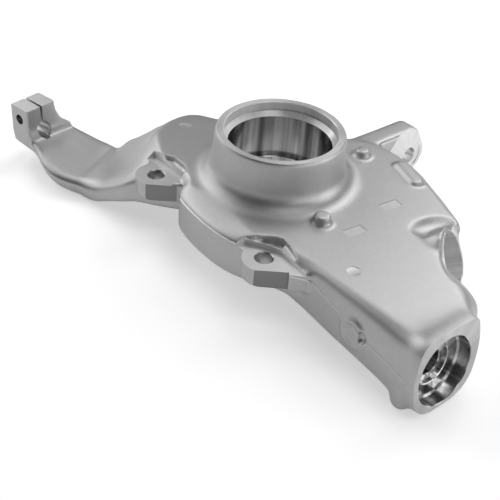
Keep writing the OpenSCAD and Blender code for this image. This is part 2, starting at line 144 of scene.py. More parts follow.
def drawn_in(outline, distance):
    """A closed outline moved inwards by a distance along its normals; both may vary from point to point."""
    along = np.roll(outline, -1, axis=0) - np.roll(outline, 1, axis=0)
    along /= np.linalg.norm(along, axis=1, keepdims=True)
    return outline + np.asarray(distance)[..., None] * np.stack([-along[:, 1], along[:, 0]], -1)


# Solids


def facing(axis, turn=0.0):
    """Rotation whose third column is the axis; its first column is level, turned about the axis by turn."""
    z = np.asarray(axis, float) / np.linalg.norm(axis)
    x = np.cross([0, 0, 1], z) if abs(z[2]) < 0.999 else np.array([1.0, 0, 0])
    x /= np.linalg.norm(x)
    y = np.cross(z, x)
    c, s = math.cos(turn), math.sin(turn)
    return np.stack([c * x + s * y, c * y - s * x, z], -1)


def added(name, data):
    """New object of a mesh, lamp or camera, put into the scene."""
    made = bpy.data.objects.new(name, data)
    bpy.context.scene.collection.objects.link(made)
    return made


def new_piece(name, points, faces, place=None):
    """Mesh object from points in millimetres, moved by place = (origin, rotation), with normals outwards."""
    points = np.asarray(points, float).reshape(-1, 3)
    if place is not None:
        points = points @ place[1].T + place[0]
    mesh = bpy.data.meshes.new(name)
    mesh.from_pydata((points * MM).tolist(), [], faces)
    made = bmesh.new()
    made.from_mesh(mesh)
    bmesh.ops.remove_doubles(made, verts=made.verts, dist=MERGE_WITHIN)
    bmesh.ops.dissolve_degenerate(made, edges=made.edges, dist=MERGE_WITHIN)
    bmesh.ops.recalc_face_normals(made, faces=made.faces)
    made.to_mesh(mesh)
    made.free()
    return added(name, mesh)


def grid_faces(rows, count, wrap_rows=False):
    """Quads between neighbouring rings of a grid of rows x count points; each ring is closed."""
    index = np.arange(rows * count).reshape(rows, count)
    if wrap_rows:
        index = np.concatenate([index, index[:1]])
    low, high = index[:-1], index[1:]
    return np.stack([low, np.roll(low, -1, 1), np.roll(high, -1, 1), high], -1).reshape(-1, 4).tolist()


def lofted(name, rings, place=None):
    """Closed solid through rings of equally many points, with a flat cap on its first and last ring."""
    rings = np.asarray(rings, float)
    rows, count = rings.shape[:2]
    faces = grid_faces(rows, count)
    faces += [list(range(count))[::-1], list(range((rows - 1) * count, rows * count))]
    return new_piece(name, rings, faces, place)


def turned(name, profile, place=None, steps=TURN_STEPS, ring=False):
    """Profile of (radius, height) turned about its axis: (r cos a, r sin a, h). It starts and ends on the
    axis, or for a ring it is a closed loop clear of the axis."""
    profile = np.asarray(profile, float)
    angle = np.arange(steps) * 2 * math.pi / steps
    r, h = profile[:, 0, None], profile[:, 1, None] + 0 * angle
    points = np.stack([r * np.cos(angle), r * np.sin(angle), h], -1)
    return new_piece(name, points, grid_faces(len(profile), steps, wrap_rows=ring), place)


def upright(x, y, z):
    """Frame at a point, with its axes along the part's."""
    return np.array([x, y, z]), np.eye(3)


def ring_at(outline, inside, z):
    """The outline drawn in by a distance, at a height."""
    flat = drawn_in(outline, inside)
    return np.column_stack([flat, np.full(len(flat), z)])


def prism(name, outline, low, high, place=None, edge=0.0):
    """Outline pulled up from low to high, its upper and lower edges rounded by edge in a quarter circle."""
    outline = np.asarray(outline, float)
    levels = [(low, 0.0), (high, 0.0)]
    if edge:
        quarter = np.linspace(0, math.pi / 2, EDGE_RINGS)
        levels = [(low + edge * (1 - math.sin(a)), edge * (1 - math.cos(a))) for a in quarter[::-1]]
        levels += [(high - edge * (1 - math.sin(a)), edge * (1 - math.cos(a))) for a in quarter]
    return lofted(name, [ring_at(outline, inside, z) for z, inside in levels], place)


def ball(name, centre, radii, rotation=None):
    """Ellipsoid of three half sizes: a half circle turned about its axis and stretched."""
    angle = np.linspace(-math.pi / 2, math.pi / 2, 17)
    piece = turned(name, np.stack([np.cos(angle), np.sin(angle)], -1), steps=32)
    points = mesh_points(piece.data) * np.asarray(radii, float)
    if rotation is not None:
        points = points @ rotation.T
    set_points(piece.data, points + np.asarray(centre, float) * MM)
    return piece


def mesh_points(mesh):
    flat = np.empty(len(mesh.vertices) * 3, np.float32)
    mesh.vertices.foreach_get("co", flat)
    return flat.reshape(-1, 3).astype(float)


def set_points(mesh, points):
    mesh.vertices.foreach_set("co", points.astype(np.float32).ravel())
    mesh.update()


# Joining, smoothing and cutting


def baked(piece):
    """Replaces a piece's mesh by the one its modifiers give."""
    graph = bpy.context.evaluated_depsgraph_get()
    mesh = bpy.data.meshes.new_from_object(piece.evaluated_get(graph), depsgraph=graph)
    old = piece.data
    piece.modifiers.clear()
    piece.data = mesh
    bpy.data.meshes.remove(old)
    return piece


def fused(name, pieces, voxel, smoothing):
    """One closed skin round all the pieces, as a mould makes it: joined, rebuilt from voxels, and its edges
    and inner corners eased by averaging neighbours."""
    joined = bmesh.new()
    for piece in pieces:
        joined.from_mesh(piece.data)
        bpy.data.objects.remove(piece)
    mesh = bpy.data.meshes.new(name)
    joined.to_mesh(mesh)
    joined.free()
    skin = added(name, mesh)
    remesh = skin.modifiers.new("voxels", "REMESH")
    remesh.mode, remesh.voxel_size, remesh.adaptivity = "VOXEL", voxel * MM, 0
    if smoothing:
        ease = skin.modifiers.new("ease", "SMOOTH")
        ease.factor, ease.iterations = 0.5, smoothing
    return baked(skin)


def thinned(skin, faces):
    """Merges the smallest and flattest triangles of a skin until about so many are left."""
    have = sum(len(p.vertices) - 2 for p in skin.data.polygons)
    if have > faces:
        thin = skin.modifiers.new("thin", "DECIMATE")
        thin.ratio = faces / have
        baked(skin)
    return skin


def machined(skin, cutters, operation="DIFFERENCE"):
    """Cuts every cutter out of the skin, or joins it on; a new face keeps its cutter's finish."""
    before = len(skin.data.vertices)
    for cutter in cutters:
        cut = skin.modifiers.new(cutter.name, "BOOLEAN")
        cut.object, cut.operation = cutter, operation
        cut.solver, cut.material_mode = "MANIFOLD", "TRANSFER"
    baked(skin)
    for cutter in cutters:
        bpy.data.objects.remove(cutter)
    if len(skin.data.vertices) == before:
        raise RuntimeError(f"the cut {operation} left {skin.name} as it was")
    return skin


# Forms of the casting. Rows and outlines hold millimetres.

# Body's top, thickness and underside, and the levels of the ears' and the clamp's milled faces
TOP_Z = -43.0
BODY_T = 42.0
FOOT_Z = TOP_Z - BODY_T
EAR_Z = TOP_Z - 9
CLAMP_Z = TOP_Z - 7
# Round end and thickness of an ear, and how far each ear's root runs to the right
EAR_R = 18.5
EAR_T = 17.0
EAR_ROOTS = (23, 31)
# Where the arm starts, the level of the leg's round boss, the lug's two faces as cast, and its milled face
ARM_ROOT = np.array([-92.0, -44.0])
LEG_SPOT_Z = TOP_Z - 30.0
LUG_X = (-7.5, 16.5)
LUG_FACE_X = 14.3
# How far the mouths of the side bore and of the lower bore lie beyond their mounts' points
SIDE_MOUTH = 8.0
END_MOUTH = 5.5
# Voxels of the skin round the main forms and with its details, and how far off a parting line is sought
MAIN_VOXEL = 1.6
DETAIL_VOXEL = 1.2
SEAM_REACH = 60


def collar_radius():
    """Outer radius of the collar: the bearing seat's and the wall's."""
    return mount_radius("hub_bore") + bpy.context.scene.knuckle_form.collar_wall / MM


def hub_collar():
    """Collar and its flared foot: a wall with a little draft that runs into a quarter circle."""
    draft, stock = 2.5, 1.5
    wall, fillet = collar_radius(), bpy.context.scene.knuckle_form.collar_fillet / MM
    foot = wall + draft
    a = np.linspace(0, math.pi / 2, 13)
    flare = np.stack([foot + fillet * (1 - np.sin(a)), TOP_Z + fillet * (1 - np.cos(a))], -1)
    profile = [[0, FOOT_Z], [foot + fillet, FOOT_Z], *flare.tolist(), [wall, stock], [0, stock]]
    return turned("collar", profile)


def body_plate():
    """Body: one outline drawn in at each level by a share of its shoulder's width, which is wide before the
    collar. Each corner holds x and y, as shares of the body's reach from the axis that way, and that
    width."""
    corners = np.array([
        (-0.09, 0.835, 8), (-0.33, 0.71, 8), (-0.54, 0.54, 8), (-0.69, 0.32, 8), (-0.81, 0.17, 8),
        (-0.94, 0.076, 8), (-1, -0.063, 8), (-0.985, -0.316, 8), (-0.887, -0.59, 8), (-0.66, -0.758, 6),
        (-0.496, -0.842, 6), (-0.4, -0.763, 4), (-0.3, -0.779, 4), (-0.233, -0.9, 11.5),
        (-0.15, -0.963, 18.4), (0.028, -1.01, 23.92), (0.159, -1.016, 23.92), (0.243, -0.984, 18.4),
        (0.308, -0.926, 11.5), (0.393, -0.82, 8), (0.523, -0.737, 8), (0.748, -0.705, 8),
        (0.935, -0.632, 8), (1, -0.42, 8), (0.99, -0.105, 8), (0.953, 0.101, 4), (0.888, 0.135, 4),
        (0.818, 0.22, 4), (0.757, 0.32, 4), (0.715, 0.473, 4), (0.7, 0.65, 4), (0.589, 0.768, 8),
        (0.458, 0.869, 8), (0.308, 0.97, 8), (0.164, 1, 8), (0.047, 0.962, 8),
    ])
    corners[:, :2] *= np.where(corners[:, :2] < 0, (133.0, 95.0), (214.0, 118.5))
    edge = 4
    run = smooth_run(corners, 8, closed=True)
    outline, shoulder = run[:, :2], run[:, 2]
    quarter = np.linspace(0, math.pi / 2, EDGE_RINGS)
    levels = [(FOOT_Z + edge * (1 - math.cos(a)), edge * (1 - math.sin(a)), 0) for a in quarter]
    drops = [
        (0, 9.5), (0, 7), (0.06, 5.2), (0.15, 4.1), (0.3, 3.2), (0.48, 2.1), (0.66, 1.2), (0.82, 0.5),
        (0.93, 0.1), (1, 0),
    ]
    levels += [(TOP_Z - drop, 0, share) for share, drop in drops]
    return lofted("body", [ring_at(outline, inside + share * shoulder, z) for z, inside, share in levels])


def lower_leg():
    """Leg to the lower ball joint: six cornered sections across X, smooth between the given ones. Each row
    has x; y and z of the back wall, back top edge, front top edge, front wall, front foot and back foot; and
    the six rounding lengths."""
    end, _ = mount_place("lower_ball_joint")
    t, b, y, z = TOP_Z, FOOT_Z, -41.3, TOP_Z - 32.6
    rows = np.array([
        [70, 60, t - 18, 56, t, -60, t, -64, t - 15, -62, b - 0.5, 56, b - 0.5, 4, 8, 6, 4, 5, 8],
        [90, 60, t - 18, 56, t, -63.5, t, -68, t - 15, -67, b - 5.5, 54, b - 3, 4, 8, 6, 4, 5, 8],
        [110, 60, t - 18, 56, t, -66, t, -70, t - 15, -68.5, b - 6, 52, b - 4, 4, 8, 6, 4, 5, 8],
        [150, 40, t - 18, 30, t, -67, t, -71, t - 18, -69.5, b - 10.5, 46, b - 8, 4, 8, 8, 5, 6, 9],
        [182, 34, t - 16, 16, t, -67.5, t, -72, t - 26, -70.5, b - 13, 36, b - 11, 5, 7, 11, 6, 7, 12],
        [205, 27.5, t - 15, 11, t, -68, t, -73, t - 31, -71, b - 16, 24, b - 18, 6, 7, 14, 7, 9, 16],
        [220, 18, t - 15, 0, t, -68, t + 1, -74, t - 32, -72, b - 21, 8, b - 24, 6, 7, 15, 8, 14, 22],
        [232, y + 41.8, z + 10, y + 35.4, z + 34.2, y - 27.4, z + 36.2, y - 35, z + 6, y - 32.2, z - 33.4,
            y + 33, z - 34.4, 8, 7, 14, 9, 24, 26],
        [end[0] + 13, y + 38.4, z + 5, y + 35, z + 34.3, y - 26.5, z + 37.3, y - 35.1, z + 8, y - 32,
            z - 31.8, y + 32.8, z - 32.3, 9, 7, 14, 9, 24, 26],
    ])
    run = smooth_run(rows, 8)
    section = rounded(run[:, 1:13].reshape(-1, 6, 2), run[:, 13:], 8)
    return lofted("leg", np.concatenate([np.repeat(run[:, None, :1], section.shape[1], 1), section], -1))


def leg_lobe():
    """Small round lobe of the mould under the leg's end: at each level an oval (x + a cos, y + b sin)."""
    angle = np.arange(24) * 2 * math.pi / 24
    x, y, z = 224.3, -66.3, TOP_Z - 32.6
    rings = []
    for level, a, b in ((z - 34.5, 4, 3.5), (z - 33.5, 6.5, 6), (z - 29, 9, 8), (z - 14, 11, 9)):
        rings.append(np.stack([x + a * np.cos(angle), y + b * np.sin(angle), 0 * angle + level], -1))
    return lofted("lobe", rings)


def upper_arm():
    """Gooseneck arm: seven cornered sections square to the way to the clamp. Each row has the share of the
    way; the near wall, near top edge, ridge, far wall and near foot to the side; and the drops of near top
    edge, ridge, far top edge and underside."""
    tip = mount_place("ball_stud_clamp")[0][:2]
    rows = np.array([
        [-0.2, 44, 38, 22, -45, 44, 4, 1, 1, 42],
        [-0.056, 48, 40, 24, -45, 49, 9, 1.5, 0.5, 43],
        [0.086, 49, 40, 14, -40, 49.5, 15, 2, 0.5, 46],
        [0.15, 50, 40, 4, -36, 50.5, 21, 3.5, 3, 49],
        [0.22, 49, 39, 2, -34, 50.5, 29, 14.5, 9, 53],
        [0.29, 47, 38, 2, -32.5, 48.5, 36, 27.5, 17.5, 58],
        [0.36, 45.5, 38, 2, -32, 46.5, 43, 37.5, 26.5, 63.5],
        [0.43, 44.5, 38.5, 2, -31.5, 44.5, 47, 44.5, 34.5, 66.5],
        [0.507, 44, 41, 2, -31, 41, 48.5, 48.5, 47.8, 66.5],
        [0.57, 46.5, 44, 2, -30.5, 42, 47.5, 47, 46.5, 65.5],
        [0.636, 47.5, 45.5, 2, -30, 43, 46, 45.5, 45, 63],
        [0.69, 46.5, 44, 2, -30, 41, 44.5, 44, 43.5, 61],
        [0.755, 42, 40, 1, -30, 36.5, 42.5, 42, 41.5, 58.5],
        [0.82, 34.5, 33, -2, -30, 29.5, 40.5, 40, 39.5, 55.5],
        [0.875, 27, 25.5, -6, -30, 24.5, 39, 38.5, 38, 53],
        [0.94, 21, 19, -9, -29.5, 21.5, 37, 36.5, 36, 49.5],
        [1, 17, 16, -10, -28, 17, 35.5, 35, 35, 46.5],
    ])
    run = smooth_run(rows, 4)
    share, wall, edge, crest, far, foot = run[:, :6].T
    z_edge, z_crest, z_far, z_low = TOP_Z - run[:, 6:].T
    corners = np.stack([
        wall, 0.75 * z_edge + 0.25 * z_low, edge, z_edge, crest, z_crest, far, z_far,
        far - 0.8, (z_far + z_low) / 2, far + 2, z_low, foot, z_low,
    ], -1)
    rounding = [2, 5, 9, 3, 2, 5, 5]
    section = rounded(corners.reshape(-1, 7, 2), np.tile(rounding, (len(run), 1)), 5)
    way = tip - ARM_ROOT
    across = np.array([way[1], -way[0]]) / np.linalg.norm(way)
    centre = ARM_ROOT + share[:, None] * way
    flat = centre[:, None, :] - section[..., :1] * across
    return lofted("arm", np.concatenate([flat, section[..., 1:]], -1))


def clamp_place():
    """Frame of the clamp: its top's centre, with x along the ball stud towards the arm."""
    at, axis = mount_place("ball_stud_clamp")
    x = -axis
    return np.array([at[0], at[1], CLAMP_Z]), np.stack([x, np.cross([0, 0, 1], x), [0, 0, 1]], -1)


def clamp_block():
    """Clamp block: a rectangle whose far side and arm side spread towards the foot in a smooth curve. Each
    row has a level and how far its corners lie off the rectangle."""
    half_length, half_width, height = 12.0, 17.5, 36.0
    levels = smooth_run([
        [-height - 5, 4, 12, 7, 4, 2, 3], [-height - 1.5, 5.5, 16, 10, 5, 0.7, 3],
        [-28, 5.5, 15.5, 10, 4, 0, 0], [-23, 3.4, 8.4, 5, 1, 0, 0], [-16, 1.4, 3.4, 2, 0, 0, 0],
        [-8, 0.4, 0.8, 0, 0, 0, 0], [1.5, 0, 0, 0, 0, 0, 0],
    ], 4)
    z, spread_x, far_right, far_left, near, foot, drop = levels.T
    outer, near_side = -half_length + foot - 1, -half_width + foot
    corners = np.stack([
        half_length + near, near_side, z - drop, half_length + spread_x, half_width + far_right, z - drop,
        outer, half_width + far_left, z, outer, near_side, z,
    ], -1)
    return lofted("clamp", corners.reshape(-1, 4, 3), clamp_place())


def ear_places():
    """Centres of the two caliper holes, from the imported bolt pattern."""
    at, _ = mount_place("caliper_bolts")
    half = MOUNTS["caliper_bolts"]["dims"]["spacing_x_mm"] / 2
    return [np.array([at[0] - half, at[1]]), np.array([at[0] + half, at[1]])]


def ear_tab(at, more):
    """Ear round a caliper hole: a band round its round end and its root in the wall, longer to the right."""
    right = EAR_R + more - 1
    root = [(-EAR_R + 1, EAR_R + 7, 1), (right, EAR_R + 7, 1), (right, EAR_R + 4, 1), (more, 10, 1)]
    outline = wrapped([(0, 0, EAR_R), *root])
    return prism("ear", outline + at, EAR_Z - EAR_T, EAR_Z + 2.5, edge=1.5)


def tie_rod_lug():
    """Lug: a lever towards +Y with a round end, pulled along X."""
    at, _ = mount_place("tie_rod_hole")
    end, throat, root_y = (at[1], at[2], 21), (at[1] - 1, TOP_Z - 14, 11.5), 81
    outline = wrapped([end, throat, (root_y, FOOT_Z + 5, 1), (root_y, TOP_Z - 2, 1)])
    along_x = np.array([[0, 0, 1.0], [1, 0, 0], [0, 1, 0]])
    return prism("lug", outline, *LUG_X, (np.zeros(3), along_x), edge=2.5)


def side_place():
    """Frame of the side bore: the centre of its mouth and its axis."""
    at, axis = mount_place("side_ball_joint")
    return at + axis * SIDE_MOUTH, facing(axis)


def side_boss():
    """Boss round the side bore, a turned form that runs back into the body."""
    mouth, turn = side_place()
    profile = [[0, -46], [22, -46], [25.5, -30], [27.5, -14], [28, 3], [0, 3]]
    return turned("boss", profile, (mouth + [-2.5, -2.0, 0], turn), steps=96)


def side_rim():
    """Rounded rim of the boss, round the side bore's mouth."""
    mouth, turn = side_place()
    profile = [[0, -12], [24, -12], [25.8, -7], [26.6, -3], [26.4, -1], [25.4, 0.6], [0, 0.6]]
    return turned("boss_rim", profile, (mouth + [-1.2, -1.0, 0], turn), steps=96)


def round_boss(x, y, radius, height, flare):
    """Low round boss on the top face, whose foot flares out."""
    profile = [
        [0, -4], [radius + flare, -4], [radius + flare, 0], [radius + flare * 0.3, 1], [radius, 2.5],
        [radius, height - 1], [radius - 1, height], [0, height],
    ]
    return turned("spot", profile, upright(x, y, TOP_Z), steps=48)


def scoop():
    """Scoop of the mould in the top face, beside the side joint's boss."""
    return ball("scoop", (137.5, 53.5, TOP_Z + 6), (15, 27, 11), facing([0, 0, 1], math.radians(-11)))


def raw_casting():
    """The casting before machining: its main forms fused, the scoop sunk and all eased with wide fillets,
    then the ears, bosses and pad fused on, and the recesses sunk and eased with small fillets."""
    form = bpy.context.scene.knuckle_form
    forms = [hub_collar(), body_plate(), lower_leg(), leg_lobe(), upper_arm(), tie_rod_lug(), side_boss()]
    skin = fused("main_forms", forms, MAIN_VOXEL, 1)
    skin = fused("main_forms", [machined(skin, [scoop()])], MAIN_VOXEL, form.wide_fillet_passes)
    details = [side_rim(), clamp_block(), leg_spot(), *cast_details()]
    details += [ear_tab(at, more) for at, more in zip(ear_places(), EAR_ROOTS)]
    skin = fused("with_details", [skin, *details], DETAIL_VOXEL, 2)
    skin = machined(skin, cast_recesses())
    return fused(PIECE, [skin], form.grain / MM, form.small_fillet_passes)


def cast_recesses():
    """Small recesses that the mould leaves: the ledges behind the ears, the groove in the right one's, and
    the dish with its pocket in the leg's round boss."""
    left, right = ear_places()
    left_ledge = [[-26, 12], [-15, 15], [-2, 22], [14, 21.5], [21, 18], [22, 0], [-26, 0]]
    right_ledge = [
        [-26, -6], [-24, -2], [-15, 9.5], [-8, 18.5], [-2, 21.5], [6, 20], [26, 13.5], [40, 11], [40, -8],
    ]
    groove = [[-23, 2], [-16, 9], [-9, 17.5], [-3, 20.5], [2.5, 19.5], [1.5, 16.2], [-9.5, 11.3]]
    steps = [(left, 4.5, left_ledge), (right, 4.5, right_ledge), (right, 0.5, groove)]
    cutters = [prism("ledge", np.array(outline) + at, EAR_Z + height, 0) for at, height, outline in steps]
    dish = [[0, 4], [12, 4], [10.5, 1.5], [8, 0], [0, 0]]
    cutters.append(turned("dish", dish, leg_spot_place(), steps=64))
    cutters.append(ball("pocket", (181, -72, LEG_SPOT_Z + 2.5), (4.5, 4.5, 6)))
    return cutters


def leg_spot_place():
    """Frame of the round boss on the leg's wall, its axis towards -Y."""
    return np.array([172.0, -71.5, LEG_SPOT_Z]), facing([0, -1, 0])


def leg_spot():
    """Round boss on the leg's wall, which fades into it."""
    profile = [[0, -8], [15.5, -8], [14.5, -1], [12.5, 1.2], [11, 1.7], [0, 1.7]]
    return turned("leg_spot", profile, leg_spot_place(), steps=64)


def cast_details():
    """Small raised forms of the casting: two round bosses and the long pad."""
    pad = wrapped([(58, 101, 6.5), (84, 92, 6.5)], 64)
    return [
        round_boss(80, -21, 7.4, 8.4, 3),
        round_boss(24, 84, 6.6, 7, 3.4),
        prism("pad", pad, TOP_Z - 4, TOP_Z + 3.4, edge=2.5),
    ]


def sunk_marks():
    """Shallow marks with sharp edges on the top face: two rectangles and three round ones. Their finish
    is the cast skin painted a little lighter, a painted highlight for their lit edges.
    """
    half_x, half_y, depth, draft = 4.3, 8.8, 0.7, 1.6
    levels = [(TOP_Z - depth, half_x, half_y), (TOP_Z + depth, half_x + draft, half_y + draft)]
    rings = [[[-x, -y, z], [x, -y, z], [x, y, z], [-x, y, z]] for z, x, y in levels]
    turn = facing([0, 0, 1], math.radians(-8))
    cutters = [lofted("rectangle", rings, (np.array([x, y, 0.0]), turn)) for x, y in ((95, 47), (104, -6))]
    disc = [[0, 2], [6, 2], [6, -0.3], [5.6, -0.4], [0, -0.4]]
    for x, y in ((142, -45), (3, 123), (-111, -19)):
        cutters.append(turned("round_mark", disc, upright(x, y, TOP_Z), steps=48))
    return [with_finish(cutter, "cast_mark") for cutter in cutters]


def seam(name, skin, radius, spots):
    """Thin bead of the mould's parting line: a tube along the points where rays from in front, towards +Y,
    meet the skin. Round each point c it runs through c + radius (cos a side + sin a away). Its finish is the
    cast skin painted lighter, a painted highlight along the bead."""
    away = np.array([0, -1.0, 0])
    path = smooth_run(spots, 8)
    hits = [skin.ray_cast(Vector((p + away * SEAM_REACH) * MM), Vector(-away)) for p in path]
    line = np.array([hit[1] for hit in hits if hit[0]]) / MM
    along = np.gradient(line, axis=0)
    along /= np.linalg.norm(along, axis=1, keepdims=True)
    side = np.cross(along, away)
    side /= np.linalg.norm(side, axis=1, keepdims=True)
    angle = (np.arange(8) * 2 * math.pi / 8)[None, :, None]
    rings = line[:, None, :] + radius * (np.cos(angle) * side[:, None, :] + np.sin(angle) * away)
    return with_finish(lofted(name, rings), "cast_bead")


def parting_seams(skin):
    """Parting lines on the front wall, the leg's wall and its end."""
    front = [
        [-24, -88, -51], [-13, -94, -50.5], [4, -97, -50.2], [24, -98, -50], [44, -96, -50], [57, -92, -50],
    ]
    leg = [[104, -70, -52.5], [135, -71, -58.5], [158, -72, -63]]
    end = [[187, -73, -70.5], [208, -75, -73], [232, -77, -76]]
    seams = (("front_seam", 0.55, front), ("leg_seam", 0.5, leg), ("end_seam", 0.4, end))
    return [seam(name, skin, radius, spots) for name, radius, spots in seams]


# Machining. Each cutter carries the finish that it leaves.


def with_finish(cutter, name):
    cutter.data.materials.append(bpy.data.materials[name])
    return cutter


def hub_cutters():
    """Everything turned in the hub: mouth, ring groove and taper, then the bearing seat, lip and relief."""
    seat, mouth, bevel, step, clear = mount_radius("hub_bore"), mount_radius("hub_mouth"), 0.7, 0.4, 20
    inside, groove, lip, foot = seat - 3, mouth + 1.6, seat - 5, FOOT_Z - 5
    groove_top, groove_foot, seat_top, seat_foot, lip_foot = -7, -8.8, -12.8, -52, -58
    upper = [
        [0, clear], [mouth + bevel, clear], [mouth + bevel, 0], [mouth, -bevel], [mouth, groove_top],
        [groove, groove_top], [groove, groove_foot], [mouth, groove_foot], [mouth - step, groove_foot - step],
        [seat, seat_top], [inside, seat_top - step], [0, seat_top - step],
    ]
    lower = [
        [0, 0], [inside, 0], [inside, seat_top + step], [seat, seat_top], [seat, seat_foot],
        [lip + 0.5, seat_foot], [lip, seat_foot - 0.5], [lip, lip_foot], [lip + 5, foot], [0, foot],
    ]
    return [
        with_finish(turned("hub_mouth", upper, steps=BORE_STEPS), "turned_mouth"),
        with_finish(turned("hub_seat", lower, steps=BORE_STEPS), "turned_hub"),
    ]


def rim_cutters():
    """Flat face of the collar's rim, and the bevel turned on its outer edge."""
    mouth, wall, clear, foot = mount_radius("hub_mouth"), collar_radius(), 20, -1.2
    face = [[mouth - 3, clear], [mouth - 3, 0], [wall + 30, 0], [wall + 30, clear]]
    bevel = [
        [wall - 0.4, 0.5], [wall - 0.4, 0], [wall, -0.2], [wall + 0.9, foot], [wall + 6, foot],
        [wall + 6, 0.5],
    ]
    return [
        with_finish(turned("rim_face", face, steps=BORE_STEPS, ring=True), "faced_rim"),
        with_finish(turned("rim_bevel", bevel, steps=BORE_STEPS, ring=True), "turned_hub"),
    ]


def ear_cutters():
    """Milled pocket over each ear, the flat on its side, and its bolt hole with a bevelled mouth. The flat's
    finish is milled metal painted dark, a painted shade.
    """
    left, right = ear_places()
    r, flat_at, clear, under = MOUNTS["caliper_bolts"]["dims"]["hole_r_mm"], 16.8, 60, -EAR_T - 4
    pockets = [
        (left, [[-26, -30], [-26, 16], [-15, 17.5], [6, 16.5], [20, 18], [22, 12], [26, -30]]),
        (right, [[-30, -30], [-24, -1], [-10, 8], [5, 14], [26, 12.5], [40, 11], [36, -30]]),
    ]
    faces = [prism("ear_face", np.array(outline) + at, EAR_Z, EAR_Z + clear) for at, outline in pockets]
    cutters = [with_finish(face, "milled_face") for face in faces]
    box = [[flat_at, -16], [30, -16], [30, 20], [flat_at, 20]]
    turn = facing([0, 0, 1], math.radians(-41.5))
    hole = [
        [0, 9], [r + 3, 9], [r + 0.8, 0], [r, -0.8], [r, -EAR_T + 0.5], [r + 0.5, -EAR_T], [r + 3, under],
        [0, under],
    ]
    for at in (left, right):
        flat = prism("ear_flat", box, EAR_Z + under, EAR_Z + 1, (np.array([*at, 0]), turn))
        cutters.append(with_finish(flat, "milled_side"))
        cutters.append(with_finish(turned("ear_hole", hole, upright(*at, EAR_Z), steps=72), "drilled"))
    return cutters


def clamp_cutters():
    """Clamp: milled top and outer face, the slit, the ball stud's bore and the pinch bolt's hole."""
    origin, turn = clamp_place()
    depth, pinch, clear = 24.0, 12.4, 30
    stud, bolt = mount_radius("ball_stud_clamp"), mount_radius("pinch_bolt")
    boxes = (
        ("clamp_top", (-30, 30), (-40, 40), (0, 20), "milled_face"),
        ("clamp_end", (-40, -12), (-40, 40), (-26, clear), "milled_face"),
        ("slit", (-60, 20), (-1.2, 1.2), (-depth, clear), "drilled"),
    )
    cutters = []
    for name, (x0, x1), (y0, y1), levels, finish in boxes:
        outline = [[x0, y0], [x1, y0], [x1, y1], [x0, y1]]
        cutters.append(with_finish(prism(name, outline, *levels, (origin, turn)), finish))
    along = (origin + turn @ [-60, 0, -depth], turn @ [[0, 0, 1.0], [0, 1, 0], [-1, 0, 0]])
    across = (origin + turn @ [0, -60, -pinch], turn @ [[1.0, 0, 0], [0, 0, 1], [0, -1, 0]])
    stud_bore = turned("stud_bore", [[0, 0], [stud, 0], [stud, 81], [0, 83]], along, steps=96)
    pinch_hole = turned("pinch_hole", [[0, 0], [bolt, 0], [bolt, 120], [0, 120]], across, steps=64)
    return cutters + [with_finish(stud_bore, "drilled"), with_finish(pinch_hole, "drilled")]


def lug_cutter():
    """Lug: its milled face, a spot face and the tie rod's bevelled hole."""
    at, axis = mount_place("tie_rod_hole")
    r, spot, face, clear = mount_radius("tie_rod_hole"), 15.5, 38, 30
    profile = [
        [0, clear], [face, clear], [face, 0], [spot, 0], [spot, -0.6], [r + 0.7, -0.6], [r, -1.3],
        [r, -clear], [0, -clear],
    ]
    place = (np.array([LUG_FACE_X, at[1], at[2]]), facing(axis))
    return with_finish(turned("lug_milling", profile, place), "milled_lug")


def end_cutters():
    """Lower end: the face cut square to its axis, and the stepped bore with its blind hole."""
    at, axis = mount_place("lower_ball_joint")
    place = (at + axis * END_MOUTH, facing(axis))
    r, step, blind, bevel = mount_radius("lower_ball_joint"), 17.5, 10.5, 0.7
    face = [[0, 0], [90, 0], [90, 40], [0, 40]]
    profile = [
        [0, 5], [r + 0.5, 5], [r + 0.5, 0], [r, -0.5], [r, -11], [r - 1.5, -12.5], [step + bevel, -12.5],
        [step, -13], [step, -15], [blind + bevel, -15], [blind, -15.7], [blind, -48], [0, -53],
    ]
    return [
        with_finish(turned("end_face", face, place, steps=64), "faced_end"),
        with_finish(turned("end_turning", profile, place, steps=BORE_STEPS), "turned_end"),
    ]


def side_cutter():
    """Side bore with its face, seat and relief."""
    r, relief, face, clear, bevel = mount_radius("side_ball_joint"), 16.5, 30, 40, 0.8
    profile = [
        [0, clear], [face, clear], [face, 0], [r + bevel, 0], [r, -bevel], [r, -17], [relief + 0.5, -17],
        [relief, -17.5], [relief, -26], [0, -30],
    ]
    return with_finish(turned("side_turning", profile, side_place()), "turned_side")


# Finishes

# Nearly all values of a noise lie in here
NOISE_RANGE = (0.3, 0.7)


def add_node(tree, kind, inputs=None, **settings):
    """Adds a node and sets its properties. Sockets given as inputs are linked, and other values are set."""
    node = tree.nodes.new(kind)
    for name, value in settings.items():
        setattr(node, name, value)
    for name, value in (inputs or {}).items():
        if isinstance(value, bpy.types.NodeSocket):
            tree.links.new(value, node.inputs[name])
        else:
            node.inputs[name].default_value = value
    return node


def math_node(tree, operation, first, second):
    return add_node(tree, "ShaderNodeMath", {0: first, 1: second}, operation=operation).outputs[0]


def vector_node(tree, operation, *values):
    made = add_node(tree, "ShaderNodeVectorMath", dict(enumerate(values)), operation=operation)
    return made.outputs["Value" if operation == "LENGTH" else "Vector"]


def metal(name, metallic=1.0):
    """New material's tree, metallic shader and object coordinates."""
    material = bpy.data.materials.new(name)
    material.use_nodes = True
    tree = material.node_tree
    shader = tree.nodes["Principled BSDF"]
    shader.inputs["Metallic"].default_value = metallic
    return tree, shader, add_node(tree, "ShaderNodeTexCoord").outputs["Object"]


def noise(tree, place, scale, detail, roughness=0.5):
    inputs = {"Vector": place, "Scale": scale, "Detail": detail, "Roughness": roughness}
    return add_node(tree, "ShaderNodeTexNoise", inputs).outputs["Fac"]


